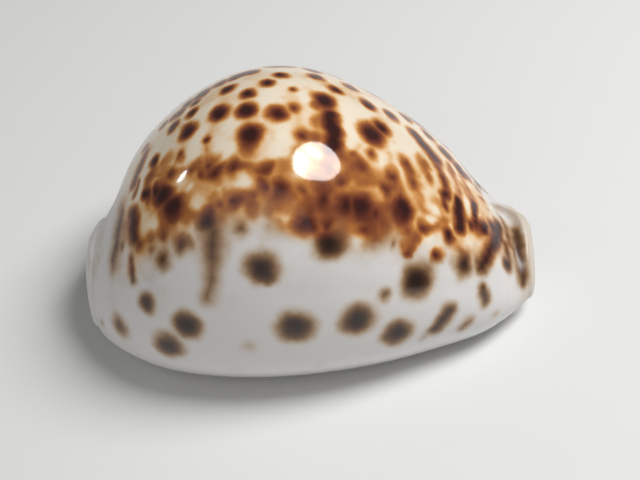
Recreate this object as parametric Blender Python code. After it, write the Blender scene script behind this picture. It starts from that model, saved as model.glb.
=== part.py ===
"""A tiger cowrie shell lying on its base: one closed solid, as it grew.

The shell is a loft of sections across its length. Each section is a thick ring that is open below: the
outside runs from the columellar lip over the back to the outer lip, and the inside runs up the long slit
between the lips and into the passage of the last whorl. At both tips the outside meets the inside in a
rounded rim, which leaves the two canals open. Ridged teeth stand along both lips.

+X points to the front (anterior) end, +Y to the columellar side, +Z up. The origin is below the middle of the
shell, on the surface that it rests on.
"""

import math

import bmesh
import bpy
import numpy as np

NAME = "shell"
LENGTH = 0.085

# The sections, from the rear tip to the front tip, in shares of the length. along is the place on the long
# axis, top the height of the back, left and right the half widths (columellar side and outer lip's side),
# margin the height of the widest point, base the height of the lowest, slit the slit's place to the left of
# the middle, gape half its width, and rise how far the passage inside bends away from a straight canal.
STATION_COLUMNS = ("along", "top", "left", "right", "margin", "base", "slit", "gape", "rise")
STATIONS = (
    (-0.468, 0.210, 0.124, 0.149, 0.082, 0.034, 0.038, 0.018, 0.00),
    (-0.456, 0.227, 0.147, 0.176, 0.088, 0.024, 0.033, 0.018, 0.00),
    (-0.434, 0.260, 0.174, 0.206, 0.098, 0.014, 0.024, 0.019, 0.00),
    (-0.395, 0.317, 0.222, 0.245, 0.113, 0.005, 0.010, 0.020, 0.20),
    (-0.325, 0.398, 0.280, 0.295, 0.136, -0.004, -0.008, 0.022, 0.60),
    (-0.225, 0.484, 0.324, 0.334, 0.152, -0.006, -0.022, 0.024, 1.00),
    (-0.100, 0.540, 0.346, 0.354, 0.158, -0.006, -0.030, 0.025, 1.00),
    (0.035, 0.528, 0.342, 0.350, 0.158, -0.006, -0.032, 0.026, 1.00),
    (0.165, 0.447, 0.314, 0.324, 0.149, -0.006, -0.030, 0.029, 1.00),
    (0.275, 0.348, 0.264, 0.284, 0.130, -0.004, -0.024, 0.032, 0.60),
    (0.355, 0.262, 0.205, 0.249, 0.102, 0.005, -0.016, 0.034, 0.20),
    (0.410, 0.198, 0.162, 0.212, 0.089, 0.014, 0.000, 0.034, 0.00),
    (0.443, 0.156, 0.132, 0.182, 0.077, 0.024, 0.012, 0.032, 0.00),
    (0.470, 0.168, 0.106, 0.150, 0.069, 0.034, 0.022, 0.031, 0.00),
)
RIM_REACH = 0.021  # how far the rounded rims reach past the last sections
RIM_TIP = 0.489  # where they end
RIM_ZONE = 0.18  # the length at each end over which the rims' edges turn back
CANAL_ZONE = 0.12  # and the notches' part of that length inside the canals
NOTCH_DEPTH = {-1: 0.015, 1: 0.044}  # the rear and front rims are notched this deep over the canals,
NOTCH_ANGLE = {-1: 1.13, 1: 0.98}  # at this angle above the columellar margin, in radians,
NOTCH_WIDTH = {-1: (0.60, 0.90), 1: (0.50, 0.43)}  # fading out over these angles towards that margin and away
BASE_TURN_BACK = {-1: 0.047, 1: 0.011}  # the rims stand back this far at the base,
BASE_CURVE = {-1: 3.6, 1: 2.8}  # the more suddenly, the larger this is,
SLANT = {-1: 0.086, 1: 0.036}  # and on the columellar side by this share of the way out

LIP_ROLL = 0.026  # radius of the lips' rolled edges
LIP_LIFT = 0.018  # the lips stand this far above the lowest line of the base
LIFT_FADE = 0.10  # the length at each end over which they come down to it
FOOT_SHARE = 0.42  # the base is lowest at this share of the way from a lip to the margin
TURN_ANGLE = 0.75  # half the angle, in radians, over which the margin's curve becomes the back's

CANAL_WALL = 0.050  # thickness of the shell over the slit in the canals
PASSAGE_GAPE = 0.046  # half the passage's width at its end
PASSAGE_START = 0.09  # how far up it leaves the slit straight
PASSAGE_BEND = (0.66, 0.26)  # where it bends, in shares of the right half width and of the back's height
PASSAGE_END = (0.60, 0.64)  # where it ends, in the same shares

TEETH = 22
TEETH_SPAN = (-0.43, 0.42)
TOOTH_HEIGHT = 0.0085
TEETH_FADE = 0.06  # length at each end of the rows over which the teeth shrink
OUTER_LIP_REACH = 0.075  # how far the teeth run out over the base on the outer lip
COLUMELLA_REACH = 0.050
INWARD_REACH = 0.050  # and how far they run into the slit

SPIRE_PIT = (0.050, 0.235, 0.020, 0.036)  # the dimple over the buried spire: left, up, depth and radius

# How finely the solid is divided.
SECTIONS = 75
RIM_RINGS = 4
LIP_POINTS = 2
BASE_POINTS = 3
FLANK_POINTS = 5

IVORY = (0.86, 0.80, 0.68, 1.0)


def spline(values, at):
    """The natural cubic spline through values at 0, 1, 2 and so on, read at the points at."""
    count = len(values)
    beside = np.ones(count - 1)
    matrix = (np.diag(np.full(count, 4.0)) + np.diag(beside, 1) + np.diag(beside, -1)) / 6
    matrix[0, :2] = (1, 0)
    matrix[-1, -2:] = (0, 1)
    knots = np.linalg.solve(matrix, values)
    knots = np.concatenate([[2 * knots[0] - knots[1]], knots, [2 * knots[-1] - knots[-2]]])
    first = np.clip(np.floor(at).astype(int), 0, count - 2)
    t = at - first
    weights = ((1 - t) ** 3, 3 * t**3 - 6 * t**2 + 4, -3 * t**3 + 3 * t**2 + 3 * t + 1, t**3)
    return sum(knots[first + i] * w for i, w in enumerate(weights)) / 6


def ease(t):
    """0 to 1 with no jump in slope or curvature at either end."""
    t = np.clip(t, 0, 1)
    return t**3 * (t * (6 * t - 15) + 10)


def sections(count):
    """The stations' columns, read at count places evenly spaced along the shell."""
    columns = dict(zip(STATION_COLUMNS, np.array(STATIONS).T))
    fine = np.linspace(0, len(STATIONS) - 1, 4001)
    along = spline(columns["along"], fine)
    places = np.interp(np.linspace(along[0], along[-1], count), along, fine)
    return [dict(zip(columns, row)) for row in np.array([spline(c, places) for c in columns.values()]).T]


def crest(s):
    """The height of the lips, above the lowest line of the base except at the tips."""
    return s["base"] + LIP_LIFT * ease((0.5 - abs(s["along"])) / LIFT_FADE)


def half_outline(s, side, half_width):
    """One side of a section's outside, from the middle of the lip's roll to the top of the back, as points
    (sideways, up) with sideways counted towards that side, and their angles below or above the margin."""
    lip = s["slit"] * side + s["gape"]
    roll = np.linspace(math.pi / 4, 0, LIP_POINTS, endpoint=False)
    rolled = np.c_[lip + LIP_ROLL * (1 - np.sin(roll)), crest(s) + LIP_ROLL * (1 - np.cos(roll))]
    start = lip + LIP_ROLL
    foot = start + FOOT_SHARE * (half_width - start)
    t = np.linspace(0, 1, BASE_POINTS, endpoint=False)
    lift = (crest(s) - s["base"]) * (1 + np.cos(math.pi * t)) / 2
    base = np.c_[start + (foot - start) * t, s["base"] + lift]
    angle = np.linspace(-math.pi / 2, math.pi / 2, 2 * FLANK_POINTS + 1)
    upper = ease((angle + TURN_ANGLE) / (2 * TURN_ANGLE))
    centre = foot * (1 - upper)
    reach_up = (s["margin"] - s["base"]) * (1 - upper) + (s["top"] - s["margin"]) * upper
    flank = np.c_[centre + (half_width - centre) * np.cos(angle), s["margin"] + reach_up * np.sin(angle)]
    angles = np.concatenate([np.full(len(rolled) + len(base), -math.pi / 2), angle])
    return np.concatenate([rolled, base, flank]), angles


def outside(s):
    """A section's outside from the columellar lip over the back to the outer lip, and the points' angles."""
    left, left_angles = half_outline(s, 1, s["left"])
    right, right_angles = half_outline(s, -1, s["right"])
    points = np.concatenate([left, (right * (-1, 1))[-2::-1]])
    return points, np.concatenate([left_angles, right_angles[-2::-1]])


def inside(s, count):
    """A section's inside: count points from the columellar lip up the slit, round the passage and back."""
    mouth = np.array([s["slit"], crest(s) + LIP_ROLL])
    ceiling = np.array([s["slit"], s["top"] - CANAL_WALL - s["gape"]])
    straight = [mouth + (ceiling - mouth) * share for share in (0, 1 / 3, 2 / 3, 1)]
    start = mouth + (0, PASSAGE_START)
    bend = np.array([-PASSAGE_BEND[0] * s["right"], PASSAGE_BEND[1] * s["top"]])
    end = np.array([-PASSAGE_END[0] * s["right"], PASSAGE_END[1] * s["top"]])
    curved = [mouth, start, bend, end]
    a, b, c, d = (p + (q - p) * s["rise"] for p, q in zip(straight, curved))
    t = np.linspace(0, 1, 60)[:, None]
    middle = a * (1 - t) ** 3 + 3 * b * t * (1 - t) ** 2 + 3 * c * t**2 * (1 - t) + d * t**3
    tangent = np.gradient(middle, axis=0)
    tangent /= np.linalg.norm(tangent, axis=1)[:, None]
    normal = tangent[:, ::-1] * (1, -1)
    gape = s["gape"] + (PASSAGE_GAPE - s["gape"]) * s["rise"] * np.sin(math.pi / 2 * t) ** 2
    turn = np.linspace(0, math.pi, 40)[1:-1, None]
    end_cap = middle[-1] + gape[-1] * (normal[-1] * np.cos(turn) + tangent[-1] * np.sin(turn))
    roll = np.linspace(math.pi / 4, math.pi / 2, 6, endpoint=False)
    out, up = LIP_ROLL * (1 - np.sin(roll)), crest(s) + LIP_ROLL * (1 - np.cos(roll))
    left_roll = np.c_[s["slit"] + s["gape"] + out, up]
    right_roll = np.c_[s["slit"] - s["gape"] - out, up]
    walls = [left_roll, middle + gape * normal, end_cap, (middle - gape * normal)[::-1], right_roll[::-1]]
    path = np.concatenate(walls)
    return spaced(path, count)


def spaced(path, count):
    """count points along a path, close together at its two ends and wider apart between them."""
    travelled = np.concatenate([[0], np.cumsum(np.linalg.norm(np.diff(path, axis=0), axis=1))])
    share = np.linspace(0, 1, count)
    share = share - 0.11 * np.sin(2 * math.pi * share)
    return np.c_[[np.interp(share * travelled[-1], travelled, axis) for axis in path.T]].T


def ring(s, reach=0.0, end=0):
    """One ring of the loft as points (along, left, up): the outside, then the inside back to the first lip.
    On a rim, reach is the angle in radians that its rounding has turned through, and end is -1 or 1."""
    outer, angles = outside(s)
    inner = inside(s, len(outer))
    middle = (outer + inner) / 2
    outer = middle + (outer - middle) * math.cos(reach)
    inner = middle + (inner - middle) * math.cos(reach)
    along = s["along"] + end * RIM_REACH * math.sin(reach)
    inner = np.c_[turned_back(along, outer[:, 0], angles, CANAL_ZONE), inner]
    outer = np.c_[turned_back(along, outer[:, 0], angles, RIM_ZONE), outer]
    outer = dimpled(outer, math.cos(reach))
    return toothed(np.concatenate([outer, inner[-2:0:-1]]), len(outer), s["along"])


def toothed(points, outer_count, along):
    """The ring with the teeth raised on both lips, whose middles are its points 0 and outer_count - 1."""
    span = TEETH_SPAN[1] - TEETH_SPAN[0]
    phase = (along - TEETH_SPAN[0]) / span * TEETH
    fade = ease((along - TEETH_SPAN[0]) / TEETH_FADE) * ease((TEETH_SPAN[1] - along) / TEETH_FADE)
    height = TOOTH_HEIGHT * fade * (np.cos(2 * math.pi * phase) * 0.5 + 0.5)
    steps = np.linalg.norm(np.diff(points[:, 1:], axis=0, append=points[:1, 1:]), axis=1)
    travelled = np.concatenate([[0], np.cumsum(steps)])
    total = travelled[-1]
    travelled = travelled[:-1]
    lips = ((0, COLUMELLA_REACH, INWARD_REACH), (travelled[outer_count - 1], INWARD_REACH, OUTER_LIP_REACH))
    weight = np.zeros(len(points))
    for place, after, before in lips:
        distance = (travelled - place + total / 2) % total - total / 2
        weight += ease(1 - np.where(distance > 0, distance / after, -distance / before))
    tangent = np.roll(points[:, 1:], -1, axis=0) - np.roll(points[:, 1:], 1, axis=0)
    tangent /= np.maximum(np.linalg.norm(tangent, axis=1), 1e-9)[:, None]
    normal = tangent[:, ::-1] * (1, -1)
    raised = points.copy()
    raised[:, 1:] -= normal * (height * weight)[:, None]
    return raised


def turned_back(along, left, angles, notch_zone):
    """The places along the shell of points that far to the left at those angles, turned back towards a rim."""
    tip = -1 if along < 0 else 1
    turn_back = BASE_TURN_BACK[tip] * np.maximum(-np.sin(angles), 0) ** BASE_CURVE[tip]
    turn_back += SLANT[tip] * np.maximum(left, 0)
    away = np.where(left < 0, math.pi - angles, angles) - NOTCH_ANGLE[tip]
    notch = NOTCH_DEPTH[tip] * np.exp(-((away / np.where(away < 0, *NOTCH_WIDTH[tip])) ** 2))
    to_rim = abs(along) - RIM_TIP
    turn_back = turn_back * ease(to_rim / RIM_ZONE + 1) + notch * ease(to_rim / notch_zone + 1)
    return along - tip * turn_back


def dimpled(outer, share):
    """A ring's outside with that share of the shallow pit over the buried spire, left of the rear canal."""
    left, up, depth, radius = SPIRE_PIT
    distance = np.hypot(outer[:, 1] - left, outer[:, 2] - up)
    pit = share * depth * np.exp(-((distance / radius) ** 2)) * (outer[:, 0] < -0.3)
    return outer + np.c_[pit, 0 * pit, 0 * pit]


def shell_points():
    """All rings, from the rear rim to the front rim, in metres, with the base flattened where it rests."""
    stations = sections(SECTIONS)
    turns = np.linspace(0, math.pi / 2, RIM_RINGS + 1)[1:]
    rings = [ring(stations[0], turn, -1) for turn in turns[::-1]]
    rings += [ring(s) for s in stations]
    rings += [ring(stations[-1], turn, 1) for turn in turns]
    points = np.array(rings)
    points[..., 2] = np.maximum(points[..., 2], 0)
    low, high = points.min((0, 1)), points.max((0, 1))
    points -= (*(low + high)[:2] / 2, low[2])
    return points * LENGTH / (high - low)[0]


def rolled_up_grid(points):
    """A flat grid rolled up round the rings of points, its seam and both its ends welded shut."""
    rows, columns = points.shape[:2]
    mesh = bmesh.new()
    bmesh.ops.create_grid(mesh, x_segments=rows - 1, y_segments=columns, size=0.5)
    for vertex in mesh.verts:
        row = round((vertex.co.x + 0.5) * (rows - 1))
        column = round((vertex.co.y + 0.5) * columns) % columns
        vertex.co = points[row, column]
    bmesh.ops.remove_doubles(mesh, verts=mesh.verts, dist=LENGTH * 1e-6)
    bmesh.ops.recalc_face_normals(mesh, faces=mesh.faces)
    data = bpy.data.meshes.new(NAME)
    mesh.to_mesh(data)
    mesh.free()
    return data


def porcelain():
    """The glossy ivory of the shell."""
    material = bpy.data.materials.new("porcelain")
    material.use_nodes = True
    shader = material.node_tree.nodes["Principled BSDF"]
    shader.inputs["Base Color"].default_value = IVORY
    shader.inputs["Roughness"].default_value = 0.12
    shader.inputs["Metallic"].default_value = 0.0
    return material


def main():
    for old in list(bpy.data.objects):
        bpy.data.objects.remove(old)
    collection = bpy.data.collections.new("cowrie_shell")
    bpy.context.scene.collection.children.link(collection)
    data = rolled_up_grid(shell_points())
    data.materials.append(porcelain())
    data.shade_smooth()
    collection.objects.link(bpy.data.objects.new(NAME, data))


if __name__ == "__main__":
    main()
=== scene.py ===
"""The look of a tiger cowrie shell: the loft of part.py at a fine pitch, in its spotted porcelain.

The shell lies on its base. +X points to the front end, +Y to the columellar side, +Z up. Shapes and places
are in shares of the shell's length until the frame's own box sizes them.
"""

import math
import random

import bmesh
import bpy
import numpy as np
from mathutils import Matrix, Vector


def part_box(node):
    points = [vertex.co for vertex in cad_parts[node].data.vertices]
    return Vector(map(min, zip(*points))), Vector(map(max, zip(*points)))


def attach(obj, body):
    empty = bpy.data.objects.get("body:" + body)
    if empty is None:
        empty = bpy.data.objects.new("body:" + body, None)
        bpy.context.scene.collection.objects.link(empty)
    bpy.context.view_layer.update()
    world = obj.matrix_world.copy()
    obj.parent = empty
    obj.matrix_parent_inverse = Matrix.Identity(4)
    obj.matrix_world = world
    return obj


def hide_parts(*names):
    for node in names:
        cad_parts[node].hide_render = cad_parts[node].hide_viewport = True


# The loft, with the same values as the solid's. The sections run from the rear tip to the front tip: along is
# the place on the long axis, top the height of the back, left and right the half widths (columellar side and
# outer lip's side), margin the height of the widest point, base the height of the lowest, slit the slit's
# place to the left of the middle, gape half its width, and rise how far the passage inside bends away from a
# straight canal.
STATION_COLUMNS = ("along", "top", "left", "right", "margin", "base", "slit", "gape", "rise")
STATIONS = (
    (-0.468, 0.210, 0.124, 0.149, 0.082, 0.034, 0.038, 0.018, 0.00),
    (-0.456, 0.227, 0.147, 0.176, 0.088, 0.024, 0.033, 0.018, 0.00),
    (-0.434, 0.260, 0.174, 0.206, 0.098, 0.014, 0.024, 0.019, 0.00),
    (-0.395, 0.317, 0.222, 0.245, 0.113, 0.005, 0.010, 0.020, 0.20),
    (-0.325, 0.398, 0.280, 0.295, 0.136, -0.004, -0.008, 0.022, 0.60),
    (-0.225, 0.484, 0.324, 0.334, 0.152, -0.006, -0.022, 0.024, 1.00),
    (-0.100, 0.540, 0.346, 0.354, 0.158, -0.006, -0.030, 0.025, 1.00),
    (0.035, 0.528, 0.342, 0.350, 0.158, -0.006, -0.032, 0.026, 1.00),
    (0.165, 0.447, 0.314, 0.324, 0.149, -0.006, -0.030, 0.029, 1.00),
    (0.275, 0.348, 0.264, 0.284, 0.130, -0.004, -0.024, 0.032, 0.60),
    (0.355, 0.262, 0.205, 0.249, 0.102, 0.005, -0.016, 0.034, 0.20),
    (0.410, 0.198, 0.162, 0.212, 0.089, 0.014, 0.000, 0.034, 0.00),
    (0.443, 0.156, 0.132, 0.182, 0.077, 0.024, 0.012, 0.032, 0.00),
    (0.470, 0.168, 0.106, 0.150, 0.069, 0.034, 0.022, 0.031, 0.00),
)
RIM_REACH = 0.021  # how far the rounded rims reach past the last sections
RIM_TIP = 0.489  # where they end
RIM_ZONE = 0.18  # the length at each end over which the rims' edges turn back
CANAL_ZONE = 0.12  # and the notches' part of that length inside the canals
NOTCH_DEPTH = {-1: 0.015, 1: 0.044}  # the rear and front rims are notched this deep over the canals,
NOTCH_ANGLE = {-1: 1.13, 1: 0.98}  # at this angle above the columellar margin, in radians,
NOTCH_WIDTH = {-1: (0.60, 0.90), 1: (0.50, 0.43)}  # fading out over these angles towards that margin and away
BASE_TURN_BACK = {-1: 0.047, 1: 0.011}  # the rims stand back this far at the base,
BASE_CURVE = {-1: 3.6, 1: 2.8}  # the more suddenly, the larger this is,
SLANT = {-1: 0.086, 1: 0.036}  # and on the columellar side by this share of the way out

LIP_ROLL = 0.026  # radius of the lips' rolled edges
LIP_LIFT = 0.018  # the lips stand this far above the lowest line of the base
LIFT_FADE = 0.10  # the length at each end over which they come down to it
FOOT_SHARE = 0.42  # the base is lowest at this share of the way from a lip to the margin
TURN_ANGLE = 0.75  # half the angle, in radians, over which the margin's curve becomes the back's

CANAL_WALL = 0.050  # thickness of the shell over the slit in the canals
PASSAGE_GAPE = 0.046  # half the passage's width at its end
PASSAGE_START = 0.09  # how far up it leaves the slit straight
PASSAGE_BEND = (0.66, 0.26)  # where it bends, in shares of the right half width and of the back's height
PASSAGE_END = (0.60, 0.64)  # where it ends, in the same shares

TEETH = 22
TEETH_SPAN = (-0.43, 0.42)
TOOTH_HEIGHT = 0.0085
TEETH_FADE = 0.06  # length at each end of the rows over which the teeth shrink
OUTER_LIP_REACH = 0.075  # how far the teeth run out over the base on the outer lip
COLUMELLA_REACH = 0.050
INWARD_REACH = 0.050  # and how far they run into the slit

SPIRE_PIT = (0.050, 0.235, 0.020, 0.036)  # the dimple over the buried spire: left, up, depth and radius
PIT_END = -0.3  # the dimple is behind this place along the shell

# How finely the visible shell is divided: under 200,000 triangles.
SECTIONS = 286
RIM_RINGS = 8
LIP_POINTS = 5
BASE_POINTS = 16
FLANK_POINTS = 28
SPLINE_STEPS = 4001  # points at which the splines through the stations are read
PASSAGE_STEPS = 60  # points along each wall of the slit and the passage,
CAP_STEPS = 40  # round the passage's end
ROLL_STEPS = 6  # and round each lip's edge, before the inside's points are spaced
CROWDING = 0.11  # how much the inside's points crowd towards the lips
WELD = 1e-7  # points of the mesh that are closer than this become one, in metres

# How far down the shell a point is: 0 along the top of the back, 1 at the margin, and from there on
DOWN_BASE = 2  # where the base is lowest,
DOWN_LIPS = 2.4  # at the lips
DOWN_INSIDE = 2.5  # and inside

# The dark spots: place along the shell in percent of its length, degrees from the top of the back towards the
# outer lip, radius in thousandths of the length, and faintness from 0, nearly black, to 1, unseen.
BACK_SPOTS = (
    (-33, -12, 13, 0.25), (-30, 5, 16, 0.10), (-28.5, -17, 15, 0.18), (-26, -16, 14, 0.20),
    (-22.8, -18.5, 17, 0.10), (-19.4, -19, 19, 0.03), (-15.6, -20.5, 18, 0.05), (-25.8, -7, 16, 0.05),
    (-24.5, -14.5, 15, 0.20), (-24, 11.5, 11, 0.45), (-22.3, 2.5, 22, 0.00), (-21.6, -6.7, 14, 0.15),
    (-21, -14, 14, 0.20), (-17.9, 12, 12, 0.30), (-15.5, 2, 23, 0.00), (-13.4, -11, 16, 0.05),
    (-9.5, -3.7, 17, 0.10), (-9.7, 5, 21, 0.00), (-9.2, 15.2, 25, 0.00), (-5.5, -9, 15, 0.10),
    (-4, -29, 21, 0.05), (-1.6, -29, 21, 0.10), (-2.5, -15, 17, 0.15), (-3.5, 7.8, 21, 0.15),
    (0, 5, 17, 0.40), (-0.2, -5, 12, 0.40), (1.2, 16.5, 18, 0.40), (4, -28, 18, 0.15), (4.6, -19, 18, 0.10),
    (6.1, -1.7, 24, 0.00), (8.5, -12, 17, 0.15), (11.7, -22.5, 18, 0.15), (15.1, -12.7, 19, 0.15),
    (15.2, 6, 29, 0.03), (17.4, -0.8, 22, 0.10), (20, -15.5, 18, 0.15), (22.1, 12, 17, 0.50),
    (23.5, -26, 17, 0.20), (23.2, 21, 16, 0.48), (28, -24, 17, 0.15), (29.5, 7, 13, 0.50),
    (29.8, 16.5, 17, 0.20), (36.5, -13, 15, 0.30), (38.5, -9, 13, 0.35), (14.7, 16, 11, 0.55),
    (12.5, 23, 12, 0.50), (11, 19, 10, 0.60), (18.5, 22, 16, 0.45),
)
BAND_SPOTS = (
    (-31.8, 18.5, 16, 0.05), (-29.5, 20.5, 14, 0.10), (-28, 24, 21, 0.00), (-26, 31, 23, 0.00),
    (-26, 18.5, 15, 0.35), (-21.5, 21.5, 22, 0.58), (-15.9, 26, 16, 0.35), (-17.2, 22, 10, 0.50),
    (-12.2, 27.2, 15, 0.40), (-6.4, 28.4, 15, 0.40), (-19, 25, 12, 0.50), (-18.7, 41, 24, 0.12),
    (-12.5, 37, 18, 0.35), (-15.5, 36.6, 13, 0.60), (-9.6, 36.5, 14, 0.50), (-7.4, 33.6, 20, 0.28),
    (-3.5, 35.2, 23, 0.30), (0.5, 35, 18, 0.42), (0.9, 45.6, 21, 0.15), (-6, 46, 13, 0.75),
    (2, 42, 16, 0.50), (4.5, 37.8, 20, 0.32), (5, 46, 15, 0.40), (8.2, 30, 17, 0.45), (5.6, 27, 14, 0.60),
    (8.6, 38.6, 22, 0.16), (12, 37.8, 27, 0.10), (14.6, 38.5, 18, 0.38), (12.5, 45.5, 13, 0.50),
    (14.2, 48, 26, 0.52), (17.6, 49, 12, 0.55), (17, 28.6, 18, 0.38), (20.4, 34.4, 26, 0.05),
    (24.5, 38.6, 16, 0.38), (21.1, 50.5, 14, 0.50), (35.8, 24, 13, 0.30), (34.6, 27, 12, 0.30),
    (39, 3, 9, 0.35), (39.2, 7, 9, 0.40), (42, -7, 9, 0.40), (29.4, 39, 18, 0.18), (37.7, 22.5, 17, 0.02),
    (40.2, 19.5, 19, 0.12), (41.4, 24.5, 15, 0.20), (42.3, 43, 20, 0.15), (36.2, 49, 18, 0.25),
    (32.2, 51, 26, 0.15), (26.8, 51, 16, 0.30),
)
FLANK_SPOTS = (
    (-38.3, 34, 12, 0.45), (-33.6, 39, 17, 0.52), (-31.3, 43, 15, 0.55), (-28.6, 48.6, 24, 0.36),
    (-28.4, 39.6, 17, 0.55), (-24.7, 45.8, 19, 0.36), (-22.6, 47, 13, 0.55), (-12.2, 46.2, 19, 0.48),
    (-8.6, 58.2, 31, 0.02), (5, 52, 29, 0.00), (-33.2, 64, 22, 0.15), (-45, 78, 12, 0.60),
    (-40.2, 76.6, 27, 0.36), (-29.6, 85, 31, 0.10), (-24.9, 74.6, 29, 0.00), (-13, 84, 19, 0.70),
    (-3.1, 77.6, 34, 0.00), (1, 102, 15, 0.75), (9.5, 77, 33, 0.00), (11.6, 57.5, 16, 0.86),
    (15.2, 68, 16, 0.42), (17.5, 86.5, 30, 0.05), (22, 62.6, 34, 0.00), (23, 96, 17, 0.62),
    (38.5, 87, 14, 0.68),
)
# Longer marks, each from one place to another: two places, radius and faintness. The two at the rear end,
# from -38 to -41 percent, are partly painted shade.
STREAKS = (
    ((-17.9, 45), (-18.1, 53), 27, 0.42), ((-18.1, 53), (-19.9, 65), 22, 0.52),
    ((45.2, 12), (45.7, 64), 15, 0.36), ((43.2, 2), (43.6, 24), 13, 0.50), ((7.2, 4.5), (7.4, 18), 19, 0.06),
    # Both streaks that end at -40.6 percent lie in the valley between the body and the rear rim: they are
    # grey-brown marks and also painted shade that darkens that valley.
    ((-35.3, 22), (-34.9, 34), 19, 0.25), ((-38.6, 12), (-40.6, 42), 27, 0.54),
    ((-38.2, 16), (-40.6, 39), 14, 0.36), ((32.6, 16), (32.2, 31), 16, 0.03),
    ((29.6, 18), (29.5, 24), 12, 0.40), ((28.6, 77), (25.6, 90), 20, 0.26), ((33, 86), (31.3, 94), 15, 0.55),
    ((36.3, 63), (36.4, 71), 16, 0.32), ((24.6, -12.3), (28.5, -3.3), 19, 0.18),
    ((36.1, 10), (36, 19), 10, 0.20), ((-36, 43), (-35.8, 53), 13, 0.42), ((41.6, 14), (39.6, 33), 17, 0.15),
    ((39.4, 33), (36.4, 49), 17, 0.22), ((42.6, 26), (42.9, 38), 16, 0.42),
    ((-12, -21.5), (-9.4, -22), 19, 0.00), ((34.2, -13.5), (34.6, -11.5), 18, 0.08),
    ((31, -19), (31.8, -17), 18, 0.08), ((-32.5, -6), (-35.4, 7), 15, 0.38), ((-34, 8), (-35, 14), 9, 0.45),
)
# Tan bridges between the spots of the back, faint enough to show only as their halos.
BRIDGES = (
    ((-9.6, -4), (-9.4, 15), 16, 0.80), ((-13.4, -10), (-15.5, 2), 13, 0.82),
    ((-15.5, 3), (-17.9, 12), 14, 0.79), ((-5.5, -9), (-9.5, -4), 12, 0.82), ((0, 5), (1.2, 16.5), 15, 0.80),
    ((4.6, 2), (4.2, 17), 17, 0.74), ((8.2, 17), (9, 24), 16, 0.72), ((15, 8), (15, 15), 15, 0.76),
    ((22.2, 11), (23.6, 19), 18, 0.60), ((-22.3, 3), (-24, 11.5), 13, 0.80),
    ((-24, 11.5), (-26, 18), 14, 0.68), ((-17.9, 12), (-18.5, 20), 14, 0.70),
    ((28.4, -3), (29.5, 7), 14, 0.58), ((29.5, 7), (29.8, 16), 15, 0.50), ((31.5, -6), (33.2, 9), 13, 0.64),
    ((25.2, 3), (26.6, 12), 13, 0.70), ((34, -4), (36.5, 8), 12, 0.62), ((18.6, 12), (19.2, 21), 12, 0.76),
    ((-30, 6), (-32, 17), 14, 0.66), ((12.5, 14), (11, 19), 12, 0.74),
)
# The amber glaze where the two folds of the mantle met, in the same terms.
AMBER_SPOTS = (
    (-31, 12, 18, 0), (-27.5, 14, 14, 0), (-28, 19, 16, 0), (-23.6, 14, 13, 0), (-20, 20, 14, 0),
    (-17, 21, 16, 0), (-12.5, 24.5, 13, 0), (-9.6, 27.6, 13, 0), (-6.5, 27, 14, 0), (-3, 28, 17, 0),
    (-10, 20.5, 20, 0), (-17.5, 24.5, 16, 0), (-27, 9.5, 19, 0), (-29.5, 11, 17, 0), (-23.8, 44, 16, 0),
    (-31, 37, 12, 0), (-26, 35.5, 14, 0), (4.2, 3, 13, 0), (4.6, 9, 15, 0), (4.5, 15, 13, 0),
    (-6, 40, 18, 0), (-9.5, 40.5, 14, 0), (-2, 40, 16, 0), (4, 43.5, 22, 0), (8.3, 44.5, 20, 0),
    (12.2, 43.5, 20, 0), (16.5, 42.5, 15, 0), (1, 39.5, 16, 0), (11, 20, 14, 0), (14.7, 16.5, 15, 0),
    (18.5, 22, 21, 0), (10, 26, 16, 0), (14, 27, 15, 0), (20, 26.5, 15, 0.35), (22.5, 15, 19, 0.35),
    (26.4, 6, 14, 0), (26.6, 13, 14, 0), (30, 8, 17, 0), (31.5, -3, 13, 0), (33, 10.5, 15, 0.30),
    (34, 22, 16, 0.40), (31.6, 45, 13, 0.30), (22.5, 44.5, 13, 0), (36, 24, 15, 0.45), (-29, 27, 40, 0.60),
    (-19.5, 31, 34, 0.60), (-8, 61.5, 15, 0), (17.8, 34, 16, 0), (25.6, 30, 14, 0.50), (38, 15, 13, 0.40),
    (5.6, 33.5, 15, 0),
)
AMBER_STREAKS = (
    ((28.5, 1), (30.5, 12), 14, 0.25), ((24.5, 5), (26.5, 15), 13, 0.30), ((21, 9), (22.5, 20), 14, 0.30),
    ((33.8, 2), (36.5, 12), 12, 0.20), ((9, 20), (13, 28), 16, 0.10), ((12.5, 20.5), (19, 27), 15, 0.15),
    ((-30, 14), (-18, 23.5), 10, 0.20), ((-17, 24), (-8, 28), 11, 0.15), ((4, 43), (13, 43.5), 19, 0.05),
    ((-5, 40.5), (3, 40.5), 15, 0.15), ((-14, 33), (-9, 35), 12, 0.35), ((17.5, 33), (20.5, 42), 14, 0.30),
)
# Gaps in the band, where the cream shows. Three of them lie under the key lamp's large highlight and are
# partly painted highlight.
BAND_GAPS = (
    (-11, 31, 25, 0.10), (-20.5, 33, 23, 0.20), (-15.5, 31, 18, 0.35), (26, 33, 20, 0.25),
    (-30.5, 33, 22, 0.20), (-22, 27.5, 16, 0.35), (16, 20.5, 22, 0.15), (26.5, 20, 26, 0.15),
    (26.8, 27, 24, 0.15), (25, 44, 20, 0.25), (33.5, 38, 20, 0.25), (37.5, 12, 15, 0.30),
    # (-3, 22.5), (3, 22) and (0.5, 27) clear the band under the key lamp's highlight: a pale patch, partly
    # painted highlight, that makes the reflection there read pure white.
    (-3, 22.5, 24, 0.10), (3, 22, 24, 0.10), (0.5, 27, 26, 0.10), (34.5, 16, 12, 0.30), (30.5, 33, 16, 0.30),
    (-15, 20, 14, 0.30),
)
# Where the brown of the back reaches further down the flank than elsewhere.
TONGUES = (
    (-0.5, 44, 37, 0), (2.5, 45, 33, 0), (13, 42, 33, 0), (21, 49.5, 18, 0), (22.5, 40, 30, 0),
    (26.8, 50, 18, 0),
)
STREAK_PIECE = 8  # the longest piece that a streak is cut into, in the lists' terms
HALO = 1.8  # a mark's halo ends at this many radii

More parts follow.
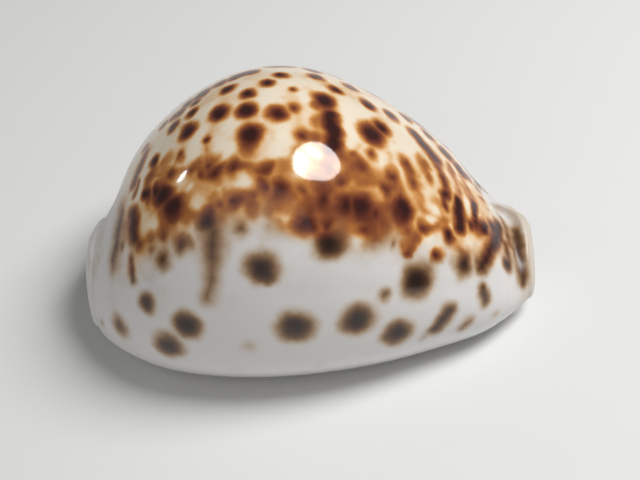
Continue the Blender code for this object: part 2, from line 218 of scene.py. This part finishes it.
# The spots on the side that faces away are scattered, in the same terms.
SCATTER_SEED = 7
SCATTER_TRIES = 4000
SCATTER_ALONG = (-41, 42)
SCATTER_TURN = (-100, -33)
SCATTER_RADII = (14, 18, 21, 25, 29)
SCATTER_END = 33  # past this place towards either end
SCATTER_END_SIZE = 0.72  # they are smaller by this factor
SCATTER_GAP = 0.115  # least distance between two, in percent of the length, per thousandth of their radii
DEGREE = 0.5  # about how far apart, in percent of the length, two places a degree apart are
SCATTER_FAINTNESS = (0, 0.35)
SCATTER_FADE_TURN = 75  # further round than this
SCATTER_FADE = 0.016  # each degree makes them this much fainter

# Noises in the glaze: about how many of a noise's features the shell's length holds, and how detailed it is.
WANDER_NOISE = (22, 3.0)
GRAIN_NOISE = (130, 2.0)
STRAY_NOISE = (15, 1.5)
PATCH_NOISE = (9, 2.0)
CLOUD_NOISE = (15, 3.0)
BLOTCH_NOISE = (13, 2.2)
POLISH_NOISE = (60, 3.0)
WAVE_NOISE = (7, 1.0)
WANDER = 0.022  # how far a mark's outline wanders from one extreme to the other, in shares of the length,
GRAIN = 0.003  # how rough its edge is
STRAY = 0.034  # and how much further the marks of the band stray

# Borders between the zones of the glaze, each as two values between which one zone fades into the next. The
# first ones say how far down the shell they are.
BAND_TOP = (0.17, 0.27)
BAND_FOOT = (0.64, 0.38)
CLOUDS_FOOT = (0.95, 0.30)
FLANK_TOP = (0.40, 0.58)
MARGIN_TOP = (1.00, 1.18)
PATCH_DOWN = 0.30  # how much the borders waver
TONGUE_DEPTH = 0.16  # and how much further down the tongues move them
# The next ones are places along the shell, as shares of its length.
REAR_END = (-0.330, -0.425)
FRONT_END = (0.375, 0.460)
COLLAR = (0.440, 0.475)
PATCH_ALONG = 0.10  # how much they waver
BAND_SIDE = (0.03, -0.03)  # a place to the left, because the band is only on one side

# How much brown pigment each thing adds, from 0 to 1, and the values of its noise or of the distance from its
# marks between which it fades in.
CLOUD_PIGMENT = 0.16
CLOUD_EDGE = (0.42, 0.72)
BAND_PIGMENT = (0.10, 0.50)  # between its blotches and in them
BLOTCH_EDGE = (0.36, 0.68)
GAP_EDGE = (0.30, 0.80)
AMBER_PIGMENT = 0.34
MARK_EDGE = (1.0, 0.2)
CORE_ON_BACK = 0.16  # a spot is darkest up to this share of the way to its halo's end,
CORE_ON_FLANK = 0.04  # and on the flank up to this one
MERGING = 0.5  # how strongly neighbouring marks flow together,
AMBER_MERGING = 0.8  # amber ones
DARK_MERGING = 0.25  # and the band's spots with the others

# What that much pigment looks like on the back, on the flank and under the thicker glaze at the margin.
ON_BACK = (
    (0.00, (0.86, 0.77, 0.63)),
    (0.12, (0.80, 0.60, 0.385)),
    (0.25, (0.70, 0.365, 0.115)),
    (0.40, (0.47, 0.172, 0.036)),
    (0.54, (0.310, 0.098, 0.030)),
    (0.68, (0.190, 0.050, 0.021)),
    (0.82, (0.115, 0.026, 0.013)),
    (0.92, (0.066, 0.014, 0.009)),
    (1.00, (0.030, 0.008, 0.007)),
)
ON_FLANK = (
    (0.00, (0.72, 0.71, 0.71)),
    (0.15, (0.62, 0.535, 0.455)),
    (0.30, (0.45, 0.32, 0.205)),
    (0.45, (0.275, 0.155, 0.073)),
    (0.62, (0.140, 0.068, 0.033)),
    (0.80, (0.060, 0.027, 0.016)),
    (1.00, (0.017, 0.009, 0.006)),
)
AT_MARGIN = (
    (0.00, (0.77, 0.76, 0.755)),
    (0.30, (0.56, 0.51, 0.49)),
    (0.60, (0.200, 0.160, 0.155)),
    (1.00, (0.022, 0.018, 0.022)),
)
UNTINTED = (1, 1, 1, 1)
COLLAR_TINT = (0.88, 0.80, 0.66, 1)  # the front collar is tinted with this,
COLLAR_SHARE = 0.75  # by this share at most

ROUGHNESS = 0.03
POLISH_ROUGHNESS = 0.08  # the most that the polish's noise adds to it
END_ROUGHNESS = 0.30  # and what the ends add
POLISH_IN_WAVES = 0.05  # how much of the polish's noise the waves have
WAVE_HEIGHT = 0.006  # in shares of the length
WAVE_STRENGTH = 0.35

# Lamps: name, direction from the origin, the way the longer side lies, size in metres, and power in watts.
LAMPS = (
    ("key", (0.494, -0.004, 0.869), (0.653, 0.670, -0.353), (0.41, 0.248), 3.2),
    ("spark", (-0.845, 0.31, 0.44), (0.5, 0.0, 0.8), (0.042, 0.032), 0.055),
    ("fill", (-0.45, -0.80, 0.50), (1.0, 0.0, 0.3), (1.3, 0.9), 1.0),
)
LAMP_DISTANCE = 0.6  # metres
WORLD_STRENGTH = 0.14
FLOOR_SIZE = 40  # in lengths of the shell


def spline(values, at):
    """The natural cubic spline through values at 0, 1, 2 and so on, read at the points at."""
    count = len(values)
    beside = np.ones(count - 1)
    matrix = (np.diag(np.full(count, 4.0)) + np.diag(beside, 1) + np.diag(beside, -1)) / 6
    matrix[0, :2] = (1, 0)
    matrix[-1, -2:] = (0, 1)
    knots = np.linalg.solve(matrix, values)
    knots = np.concatenate([[2 * knots[0] - knots[1]], knots, [2 * knots[-1] - knots[-2]]])
    first = np.clip(np.floor(at).astype(int), 0, count - 2)
    t = at - first
    weights = ((1 - t) ** 3, 3 * t**3 - 6 * t**2 + 4, -3 * t**3 + 3 * t**2 + 3 * t + 1, t**3)
    return sum(knots[first + i] * w for i, w in enumerate(weights)) / 6


def ease(t):
    """0 to 1 with no jump in slope or curvature at either end."""
    t = np.clip(t, 0, 1)
    return t**3 * (t * (6 * t - 15) + 10)


def sections_at(places):
    """The stations' columns at each of the places along the shell."""
    columns = dict(zip(STATION_COLUMNS, np.array(STATIONS).T))
    fine = np.linspace(0, len(STATIONS) - 1, SPLINE_STEPS)
    steps = np.interp(places, spline(columns["along"], fine), fine)
    return [dict(zip(columns, row)) for row in np.array([spline(c, steps) for c in columns.values()]).T]


def crest(s):
    """The height of the lips, above the lowest line of the base except at the tips."""
    return s["base"] + LIP_LIFT * ease((0.5 - abs(s["along"])) / LIFT_FADE)


def foot(s, side):
    """Where one side's base is lowest, counted towards that side."""
    start = s["slit"] * side + s["gape"] + LIP_ROLL
    return start + FOOT_SHARE * (s["left" if side > 0 else "right"] - start)


def flank(s, side, angles):
    """Points (sideways, up) of one side of a section at angles below or above the margin, with sideways
    counted towards that side."""
    half_width, inner = s["left" if side > 0 else "right"], foot(s, side)
    upper = ease((angles + TURN_ANGLE) / (2 * TURN_ANGLE))
    centre = inner * (1 - upper)
    reach_up = (s["margin"] - s["base"]) * (1 - upper) + (s["top"] - s["margin"]) * upper
    return np.c_[centre + (half_width - centre) * np.cos(angles), s["margin"] + reach_up * np.sin(angles)]


def half_outline(s, side):
    """One side of a section's outside from the lip's roll to the top of the back, and the points' angles."""
    lip = s["slit"] * side + s["gape"]
    roll = np.linspace(math.pi / 4, 0, LIP_POINTS, endpoint=False)
    rolled = np.c_[lip + LIP_ROLL * (1 - np.sin(roll)), crest(s) + LIP_ROLL * (1 - np.cos(roll))]
    start, end = lip + LIP_ROLL, foot(s, side)
    t = np.linspace(0, 1, BASE_POINTS, endpoint=False)
    lift = (crest(s) - s["base"]) * (1 + np.cos(math.pi * t)) / 2
    base = np.c_[start + (end - start) * t, s["base"] + lift]
    angle = np.linspace(-math.pi / 2, math.pi / 2, 2 * FLANK_POINTS + 1)
    angles = np.concatenate([np.full(len(rolled) + len(base), -math.pi / 2), angle])
    return np.concatenate([rolled, base, flank(s, side, angle)]), angles


def outside(s):
    """A section's outside from the columellar lip over the back to the outer lip, and the points' angles."""
    left, left_angles = half_outline(s, 1)
    right, right_angles = half_outline(s, -1)
    points = np.concatenate([left, (right * (-1, 1))[-2::-1]])
    return points, np.concatenate([left_angles, right_angles[-2::-1]])


def inside(s, count):
    """A section's inside: count points from the columellar lip up the slit, round the passage and back."""
    mouth = np.array([s["slit"], crest(s) + LIP_ROLL])
    ceiling = np.array([s["slit"], s["top"] - CANAL_WALL - s["gape"]])
    straight = [mouth + (ceiling - mouth) * share for share in (0, 1 / 3, 2 / 3, 1)]
    start = mouth + (0, PASSAGE_START)
    bend = np.array([-PASSAGE_BEND[0] * s["right"], PASSAGE_BEND[1] * s["top"]])
    end = np.array([-PASSAGE_END[0] * s["right"], PASSAGE_END[1] * s["top"]])
    curved = [mouth, start, bend, end]
    a, b, c, d = (p + (q - p) * s["rise"] for p, q in zip(straight, curved))
    t = np.linspace(0, 1, PASSAGE_STEPS)[:, None]
    middle = a * (1 - t) ** 3 + 3 * b * t * (1 - t) ** 2 + 3 * c * t**2 * (1 - t) + d * t**3
    tangent = np.gradient(middle, axis=0)
    tangent /= np.linalg.norm(tangent, axis=1)[:, None]
    normal = tangent[:, ::-1] * (1, -1)
    gape = s["gape"] + (PASSAGE_GAPE - s["gape"]) * s["rise"] * np.sin(math.pi / 2 * t) ** 2
    turn = np.linspace(0, math.pi, CAP_STEPS)[1:-1, None]
    end_cap = middle[-1] + gape[-1] * (normal[-1] * np.cos(turn) + tangent[-1] * np.sin(turn))
    roll = np.linspace(math.pi / 4, math.pi / 2, ROLL_STEPS, endpoint=False)
    out, up = LIP_ROLL * (1 - np.sin(roll)), crest(s) + LIP_ROLL * (1 - np.cos(roll))
    left_roll = np.c_[s["slit"] + s["gape"] + out, up]
    right_roll = np.c_[s["slit"] - s["gape"] - out, up]
    walls = [left_roll, middle + gape * normal, end_cap, (middle - gape * normal)[::-1], right_roll[::-1]]
    return spaced(np.concatenate(walls), count)


def spaced(path, count):
    """count points along a path, close together at its two ends and wider apart between them."""
    travelled = np.concatenate([[0], np.cumsum(np.linalg.norm(np.diff(path, axis=0), axis=1))])
    share = np.linspace(0, 1, count)
    share = share - CROWDING * np.sin(2 * math.pi * share)
    return np.c_[[np.interp(share * travelled[-1], travelled, axis) for axis in path.T]].T


def turned_back(along, left, angles, notch_zone):
    """The places along the shell of points that far to the left at those angles, turned back near a rim."""
    tip = -1 if along < 0 else 1
    turn_back = BASE_TURN_BACK[tip] * np.maximum(-np.sin(angles), 0) ** BASE_CURVE[tip]
    turn_back += SLANT[tip] * np.maximum(left, 0)
    away = np.where(left < 0, math.pi - angles, angles) - NOTCH_ANGLE[tip]
    notch = NOTCH_DEPTH[tip] * np.exp(-((away / np.where(away < 0, *NOTCH_WIDTH[tip])) ** 2))
    to_rim = abs(along) - RIM_TIP
    turn_back = turn_back * ease(to_rim / RIM_ZONE + 1) + notch * ease(to_rim / notch_zone + 1)
    return along - tip * turn_back


def dimpled(outer, share):
    """A ring's outside with that share of the shallow pit over the buried spire, left of the rear canal."""
    left, up, depth, radius = SPIRE_PIT
    distance = np.hypot(outer[:, 1] - left, outer[:, 2] - up)
    pit = share * depth * np.exp(-((distance / radius) ** 2)) * (outer[:, 0] < PIT_END)
    return outer + np.c_[pit, 0 * pit, 0 * pit]


def ring(s, reach=0.0, end=0):
    """One ring of the loft as points (along, left, up): the outside, then the inside back to the first lip.
    On a rim, reach is the angle in radians that its rounding has turned through, and end is -1 or 1."""
    outer, angles = outside(s)
    inner = inside(s, len(outer))
    middle = (outer + inner) / 2
    outer = middle + (outer - middle) * math.cos(reach)
    inner = middle + (inner - middle) * math.cos(reach)
    along = s["along"] + end * RIM_REACH * math.sin(reach)
    inner = np.c_[turned_back(along, outer[:, 0], angles, CANAL_ZONE), inner]
    outer = np.c_[turned_back(along, outer[:, 0], angles, RIM_ZONE), outer]
    outer = dimpled(outer, math.cos(reach))
    return toothed(np.concatenate([outer, inner[-2:0:-1]]), len(outer), s["along"])


def toothed(points, outer_count, along):
    """The ring with the teeth raised on both lips, whose middles are its points 0 and outer_count - 1."""
    span = TEETH_SPAN[1] - TEETH_SPAN[0]
    phase = (along - TEETH_SPAN[0]) / span * TEETH
    fade = ease((along - TEETH_SPAN[0]) / TEETH_FADE) * ease((TEETH_SPAN[1] - along) / TEETH_FADE)
    height = TOOTH_HEIGHT * fade * (np.cos(2 * math.pi * phase) * 0.5 + 0.5)
    steps = np.linalg.norm(np.diff(points[:, 1:], axis=0, append=points[:1, 1:]), axis=1)
    travelled = np.concatenate([[0], np.cumsum(steps)])
    total = travelled[-1]
    travelled = travelled[:-1]
    lips = ((0, COLUMELLA_REACH, INWARD_REACH), (travelled[outer_count - 1], INWARD_REACH, OUTER_LIP_REACH))
    weight = np.zeros(len(points))
    for place, after, before in lips:
        distance = (travelled - place + total / 2) % total - total / 2
        weight += ease(1 - np.where(distance > 0, distance / after, -distance / before))
    tangent = np.roll(points[:, 1:], -1, axis=0) - np.roll(points[:, 1:], 1, axis=0)
    tangent /= np.maximum(np.linalg.norm(tangent, axis=1), 1e-9)[:, None]
    normal = tangent[:, ::-1] * (1, -1)
    raised = points.copy()
    raised[:, 1:] -= normal * (height * weight)[:, None]
    return raised


def shell_points():
    """All rings from the rear rim to the front rim, with the base flattened where it rests."""
    ends = STATIONS[0][0], STATIONS[-1][0]
    stations = sections_at(np.linspace(*ends, SECTIONS))
    turns = np.linspace(0, math.pi / 2, RIM_RINGS + 1)[1:]
    rings = [ring(stations[0], turn, -1) for turn in turns[::-1]]
    rings += [ring(s) for s in stations]
    rings += [ring(stations[-1], turn, 1) for turn in turns]
    points = np.array(rings)
    points[..., 2] = np.maximum(points[..., 2], 0)
    return points


def rolled_up_grid(points, downs):
    """A flat grid rolled up round the rings of points, its seam and both its ends welded shut. Each vertex
    keeps how far down the shell it is as its attribute "down"."""
    rows, columns = points.shape[:2]
    mesh = bmesh.new()
    down = mesh.verts.layers.float.new("down")
    bmesh.ops.create_grid(mesh, x_segments=rows - 1, y_segments=columns, size=0.5)
    for vertex in mesh.verts:
        row = round((vertex.co.x + 0.5) * (rows - 1))
        column = round((vertex.co.y + 0.5) * columns) % columns
        vertex.co = points[row, column]
        vertex[down] = downs[column]
    bmesh.ops.remove_doubles(mesh, verts=mesh.verts, dist=WELD)
    bmesh.ops.recalc_face_normals(mesh, faces=mesh.faces)
    data = bpy.data.meshes.new("shell_surface")
    mesh.to_mesh(data)
    mesh.free()
    data.shade_smooth()
    return data


def on_shell(at, place):
    """Where (place along the shell, turn) in the lists' terms lies on the outside, in the frame's metres."""
    x, turn = at
    s = sections_at([x / 100])[0]
    side = -1 if turn > 0 else 1
    angle = np.array([math.radians(90 - abs(turn))])
    sideways, up = flank(s, side, angle)[0]
    along = turned_back(s["along"], sideways * side, angle, RIM_ZONE)[0]
    return Vector(place(np.array([along, sideways * side, up])))


def marks(spots, streaks, place, length):
    """Spots and streaks as (start, end, radius, faintness) in the frame's metres. A streak is cut into pieces
    short enough to follow the surface."""
    made = []
    for x, turn, radius, faint in spots:
        point = on_shell((x, turn), place)
        made.append((point, point, radius / 1000 * length, faint))
    for start, end, radius, faint in streaks:
        pieces = math.ceil(math.dist(start, end) / STREAK_PIECE)
        start, way = np.array(start), np.array(end) - start
        path = [on_shell(start + way * step / pieces, place) for step in range(pieces + 1)]
        made += [(one, other, radius / 1000 * length, faint) for one, other in zip(path, path[1:])]
    return made


def scattered_spots():
    """Spots in the lists' terms over the side that faces away, apart from each other."""
    draw = random.Random(SCATTER_SEED)
    spots = []
    for _ in range(SCATTER_TRIES):
        along, turn = draw.uniform(*SCATTER_ALONG), draw.uniform(*SCATTER_TURN)
        radius = draw.choice(SCATTER_RADII) * (SCATTER_END_SIZE if abs(along) > SCATTER_END else 1)
        clear = [
            (along - x) ** 2 + ((turn - t) * DEGREE) ** 2 >= ((radius + r) * SCATTER_GAP) ** 2
            for x, t, r, _ in spots
        ]
        if all(clear):
            fade = max(0, -turn - SCATTER_FADE_TURN) * SCATTER_FADE
            spots.append((along, turn, radius, draw.uniform(*SCATTER_FAINTNESS) + fade))
    return spots


class Nodes:
    """Short calls for building the node tree of a material on the shell. place turns a point of the loft
    into one in the frame's metres, and length is the shell's. A call that adds nodes gives an output."""

    def __init__(self, material, place, length):
        material.use_nodes = True
        self.tree = material.node_tree
        self.shader = self.tree.nodes["Principled BSDF"]
        self.place = place
        self.length = length

    def add(self, kind, inputs=(), output=0, **settings):
        """A node of any kind, its inputs by name or number."""
        node = self.tree.nodes.new(kind)
        for name, value in settings.items():
            setattr(node, name, value)
        for key, value in dict(inputs).items():
            self.put(node.inputs[key], value)
        return node.outputs[output]

    def put(self, socket, value):
        """An input set to a value, or linked to another node's output."""
        if isinstance(value, bpy.types.NodeSocket):
            self.tree.links.new(value, socket)
        else:
            socket.default_value = value

    def math(self, operation, *values):
        """Maths on numbers."""
        return self.add("ShaderNodeMath", enumerate(values), operation=operation)

    def vector(self, operation, *values, output=0):
        """Vector maths. Its output 0 is a vector and its output 1 a number."""
        return self.add("ShaderNodeVectorMath", enumerate(values), output, operation=operation)

    def between(self, value, low, high):
        """0 below low, 1 above high and smooth between them. low may be the larger."""
        inputs = {"Value": value, "From Min": low, "From Max": high}
        return self.add("ShaderNodeMapRange", inputs, interpolation_type="SMOOTHSTEP")

    def noise(self, vector, pattern, output=0):
        """A noise of a pattern (features in the shell's length, detail). Its output 1 is a colour."""
        inputs = {"Vector": vector, "Scale": pattern[0] / self.length, "Detail": pattern[1]}
        return self.add("ShaderNodeTexNoise", inputs, output)

    def sized(self, shares):
        """Shares of the shell's length in metres."""
        return [share * self.length for share in shares]

    def mix(self, share, first, second):
        """Two colours mixed, with that share of the second."""
        node = self.tree.nodes.new("ShaderNodeMix")
        node.data_type = "RGBA"
        for key, value in ((0, share), (6, first), (7, second)):
            self.put(node.inputs[key], value)
        return node.outputs[2]

    def ramp(self, value, stops):
        """The colour of a smooth ramp through stops (place, colour)."""
        node = self.tree.nodes.new("ShaderNodeValToRGB")
        node.color_ramp.interpolation = "B_SPLINE"
        elements = node.color_ramp.elements
        while len(elements) < len(stops):
            elements.new(1.0)
        for element, (place, _) in zip(elements, stops):
            element.position = place
        for element, (_, colour) in zip(elements, stops):
            element.color = (*colour, 1)
        self.put(node.inputs[0], value)
        return node.outputs[0]

    def nearness(self, vector, spots, streaks=(), merging=MERGING):
        """How far a place is from the middle of the nearest mark: the mark's faintness there, and 1 where its
        halo ends. Neighbours flow together."""
        nearest = None
        for start, end, radius, faint in marks(spots, streaks, self.place, self.length):
            way = end - start
            if way.length > 0:
                offset = self.vector("SUBTRACT", vector, start)
                share = self.vector("DOT_PRODUCT", offset, way / way.length_squared, output=1)
                share = self.math("MINIMUM", self.math("MAXIMUM", share, 0.0), 1.0)
                reached = self.add("ShaderNodeVectorMath", {0: way, "Scale": share}, operation="SCALE")
                distance = self.vector("DISTANCE", offset, reached, output=1)
            else:
                distance = self.vector("DISTANCE", vector, start, output=1)
            share = self.math("MULTIPLY_ADD", distance, (1 - faint) / radius, faint * HALO)
            nearest = share if nearest is None else self.math("SMOOTH_MIN", nearest, share, merging)
        return self.math("DIVIDE", nearest, HALO)


def strayed_places(n, position):
    """The two places that marks are measured from, so that their outlines waver: one wanders a little, and
    the one for the band strays further."""
    middle_grey = (0.5,) * 3
    wander = n.vector("SUBTRACT", n.noise(position, WANDER_NOISE, output=1), middle_grey)
    grain = n.vector("SUBTRACT", n.noise(position, GRAIN_NOISE, output=1), middle_grey)
    grain = n.vector("MULTIPLY_ADD", grain, (GRAIN * n.length,) * 3, position)
    wandering = n.vector("MULTIPLY_ADD", wander, (WANDER * n.length,) * 3, grain)
    stray = n.vector("SUBTRACT", n.noise(position, STRAY_NOISE, output=1), middle_grey)
    straying = n.vector("MULTIPLY_ADD", stray, (STRAY * n.length,) * 3, wandering)
    return wandering, straying


def zones(n, position, down, straying):
    """Where the zones of the glaze are, their borders blurred by noise: the places along the shell, to its
    left and down it, the share of the flank's look and the share of the ends. Both ends turn up into pale
    rims, which look as the flank does."""
    patches = n.noise(position, PATCH_NOISE)
    along = n.add("ShaderNodeSeparateXYZ", {0: position}, output=0)
    side = n.add("ShaderNodeSeparateXYZ", {0: position}, output=1)
    shift = n.math("MULTIPLY_ADD", patches, PATCH_ALONG * n.length, -PATCH_ALONG / 2 * n.length)
    along = n.math("ADD", along, shift)
    rear, front = n.between(along, *n.sized(REAR_END)), n.between(along, *n.sized(FRONT_END))
    ends = n.math("MAXIMUM", rear, front)
    level = n.math("ADD", down, n.math("MULTIPLY_ADD", patches, PATCH_DOWN, -PATCH_DOWN / 2))
    tongues = n.between(n.nearness(straying, TONGUES), *MARK_EDGE)
    level = n.math("MULTIPLY_ADD", tongues, -TONGUE_DEPTH, level)
    flank_share = n.math("MAXIMUM", n.between(level, *FLANK_TOP), ends)
    return along, side, level, flank_share, ends


def clouds_of_tan(n, position, level):
    """The pigment of the clouds on the back."""
    clouds = n.between(n.noise(position, CLOUD_NOISE), *CLOUD_EDGE)
    return n.math("MULTIPLY", clouds, n.math("MULTIPLY", n.between(level, *CLOUDS_FOOT), CLOUD_PIGMENT))


def mottled_band(n, wandering, straying, side, level, ends):
    """The pigment of the band where the two folds of the mantle met."""
    # The gaps include a pale patch under the key lamp's highlight, which is partly painted highlight.
    gaps = n.nearness(straying, BAND_GAPS)
    blotches = n.noise(wandering, BLOTCH_NOISE)
    band = n.math("MULTIPLY", n.between(level, *BAND_TOP), n.between(level, *BAND_FOOT))
    band = n.math("MULTIPLY", band, n.between(side, *n.sized(BAND_SIDE)))
    away_from_gaps = n.between(gaps, *GAP_EDGE)
    away_from_ends = n.math("SUBTRACT", 1.0, ends)
    band = n.math("MULTIPLY", band, n.math("MULTIPLY", away_from_gaps, away_from_ends))
    paler, darker = BAND_PIGMENT
    blotches = n.math("MULTIPLY_ADD", n.between(blotches, *BLOTCH_EDGE), darker - paler, paler)
    return n.math("MULTIPLY", band, blotches)


def porcelain(place, length):
    """The shell's spotted glaze."""
    material = bpy.data.materials.new("porcelain")
    n = Nodes(material, place, length)
    position = n.add("ShaderNodeTexCoord", output=3)
    down = n.add("ShaderNodeAttribute", output=2, attribute_name="down")
    wandering, straying = strayed_places(n, position)
    # These dark marks include the two rear-end streaks that are partly painted shade in the valley by the
    # rear rim.
    spots = n.nearness(wandering, (*BACK_SPOTS, *FLANK_SPOTS, *scattered_spots()), (*STREAKS, *BRIDGES))
    dark = n.math("SMOOTH_MIN", spots, n.nearness(straying, BAND_SPOTS), DARK_MERGING)
    amber = n.nearness(straying, AMBER_SPOTS, AMBER_STREAKS, AMBER_MERGING)
    along, side, level, flank_share, ends = zones(n, position, down, straying)

    # How much brown pigment there is, from 0 to 1. What one thing leaves bare, the next one can cover.
    clouds = clouds_of_tan(n, position, level)
    band = mottled_band(n, wandering, straying, side, level, ends)
    glaze = n.math("MULTIPLY", n.between(amber, *MARK_EDGE), AMBER_PIGMENT)
    core = n.math("MULTIPLY_ADD", flank_share, CORE_ON_FLANK - CORE_ON_BACK, CORE_ON_BACK)
    bare = n.math("SUBTRACT", 1.0, n.between(dark, 1.0, core))
    for share in (clouds, band, glaze):
        bare = n.math("MULTIPLY", bare, n.math("SUBTRACT", 1.0, share))
    pigment = n.math("SUBTRACT", 1.0, bare)

    on_back, on_flank, at_margin = (n.ramp(pigment, stops) for stops in (ON_BACK, ON_FLANK, AT_MARGIN))
    surface = n.mix(flank_share, on_back, on_flank)
    collar = n.math("MULTIPLY", n.between(along, *n.sized(COLLAR)), COLLAR_SHARE)
    surface = n.vector("MULTIPLY", surface, n.mix(collar, UNTINTED, COLLAR_TINT))
    surface = n.mix(n.between(level, *MARGIN_TOP), surface, at_margin)

    # A clear glaze with faint waves in it.
    polish = n.noise(position, POLISH_NOISE)
    waves = n.math("ADD", n.noise(position, WAVE_NOISE), n.math("MULTIPLY", polish, POLISH_IN_WAVES))
    bump = {"Strength": WAVE_STRENGTH, "Distance": WAVE_HEIGHT * length, "Height": waves}
    rough = n.math("MULTIPLY_ADD", polish, POLISH_ROUGHNESS, ROUGHNESS)
    finish = {
        "Base Color": surface,
        "Roughness": n.math("MULTIPLY_ADD", ends, END_ROUGHNESS, rough),
        "Normal": n.add("ShaderNodeBump", bump),
        "IOR": 1.55,
        "Subsurface Weight": 0.10,
        "Subsurface Radius": (1.0, 0.6, 0.4),
        "Subsurface Scale": 0.010 * length,
    }
    for name, value in finish.items():
        n.put(n.shader.inputs[name], value)
    return material


def plain_floor(size):
    """The pale floor that the shell lies on."""
    bpy.ops.mesh.primitive_plane_add(size=size)
    floor = bpy.context.object
    floor.name = "floor"
    material = bpy.data.materials.new("pale_floor")
    material.use_nodes = True
    shader = material.node_tree.nodes["Principled BSDF"]
    shader.inputs["Base Color"].default_value = (0.78, 0.78, 0.77, 1)
    shader.inputs["Roughness"].default_value = 0.9
    shader.inputs["Specular IOR Level"].default_value = 0.2
    floor.data.materials.append(material)


def lamp(name, direction, across, size, power):
    """A soft oval lamp that faces the shell from a direction, its longer side across."""
    data = bpy.data.lights.new(name, "AREA")
    data.shape = "ELLIPSE"
    data.size, data.size_y = size
    data.energy = power
    made = bpy.data.objects.new(name, data)
    toward = Vector(direction).normalized()
    up = toward.cross(Vector(across)).normalized()
    turn = Matrix((up.cross(toward), up, toward)).transposed().to_4x4()
    made.matrix_world = Matrix.Translation(toward * LAMP_DISTANCE) @ turn
    bpy.context.scene.collection.objects.link(made)


def camera(aim, azimuth, elevation, distance, roll, lens):
    """The camera, aimed from an azimuth (0 looks along +Y) and an elevation and rolled about its aim."""
    data = bpy.data.cameras.new("camera")
    data.lens = lens
    data.clip_start = 0.01
    made = bpy.data.objects.new("camera", data)
    turn, lift = math.radians(azimuth), math.radians(elevation)
    back = Vector((math.sin(turn) * math.cos(lift), -math.cos(turn) * math.cos(lift), math.sin(lift)))
    made.matrix_world = (
        Matrix.Translation(Vector(aim) + back * distance)
        @ back.to_track_quat("Z", "Y").to_matrix().to_4x4()
        @ Matrix.Rotation(math.radians(roll), 4, "Z")
    )
    bpy.context.scene.collection.objects.link(made)
    bpy.context.scene.camera = made


def studio_world():
    """Weak white light from all round, and colours shown as they are."""
    world = bpy.data.worlds.new("studio")
    world.use_nodes = True
    background = world.node_tree.nodes["Background"]
    background.inputs["Color"].default_value = (1, 1, 1, 1)
    background.inputs["Strength"].default_value = WORLD_STRENGTH
    bpy.context.scene.world = world
    bpy.context.scene.view_settings.view_transform = "Standard"


def downs_round_ring():
    """How far down the shell each point of a ring is."""
    _, angles = outside(sections_at([0.0])[0])
    downs = 1 - angles / (math.pi / 2)
    below = LIP_POINTS + BASE_POINTS
    downs[:below] = np.linspace(DOWN_LIPS, DOWN_BASE, below, endpoint=False)
    downs[-below:] = downs[:below][::-1]
    return np.concatenate([downs, np.full(len(downs) - 2, DOWN_INSIDE)])


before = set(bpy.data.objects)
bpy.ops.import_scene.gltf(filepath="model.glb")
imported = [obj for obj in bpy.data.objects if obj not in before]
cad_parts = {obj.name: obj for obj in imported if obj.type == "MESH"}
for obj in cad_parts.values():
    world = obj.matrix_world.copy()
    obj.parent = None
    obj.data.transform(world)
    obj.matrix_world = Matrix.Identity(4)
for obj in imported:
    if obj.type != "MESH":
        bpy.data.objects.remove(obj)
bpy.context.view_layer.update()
low, high = (Vector(corner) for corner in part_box("shell"))
length = (high - low).x

points = shell_points()
lowest, highest = points.min((0, 1)), points.max((0, 1))
scale = length / (highest - lowest)[0]
middle = np.array([*((lowest + highest) / 2)[:2], 0])
origin = np.array([*((low + high) / 2)[:2], low.z])


def placed(point):
    """A point of the loft in the frame's metres."""
    return (point - middle) * scale + origin


shell = bpy.data.objects.new("spotted_shell", rolled_up_grid(placed(points), downs_round_ring()))
bpy.context.scene.collection.objects.link(shell)
shell.data.materials.append(porcelain(placed, length))
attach(shell, "root")
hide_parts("shell")

plain_floor(FLOOR_SIZE * length)
for name, direction, across, size, power in LAMPS:
    lamp(name, direction, across, size, power)
studio_world()
camera(aim=(0.0023, -0.0038, 0.0158), azimuth=1.3, elevation=43.2, distance=0.28, roll=-5.1, lens=83.7)
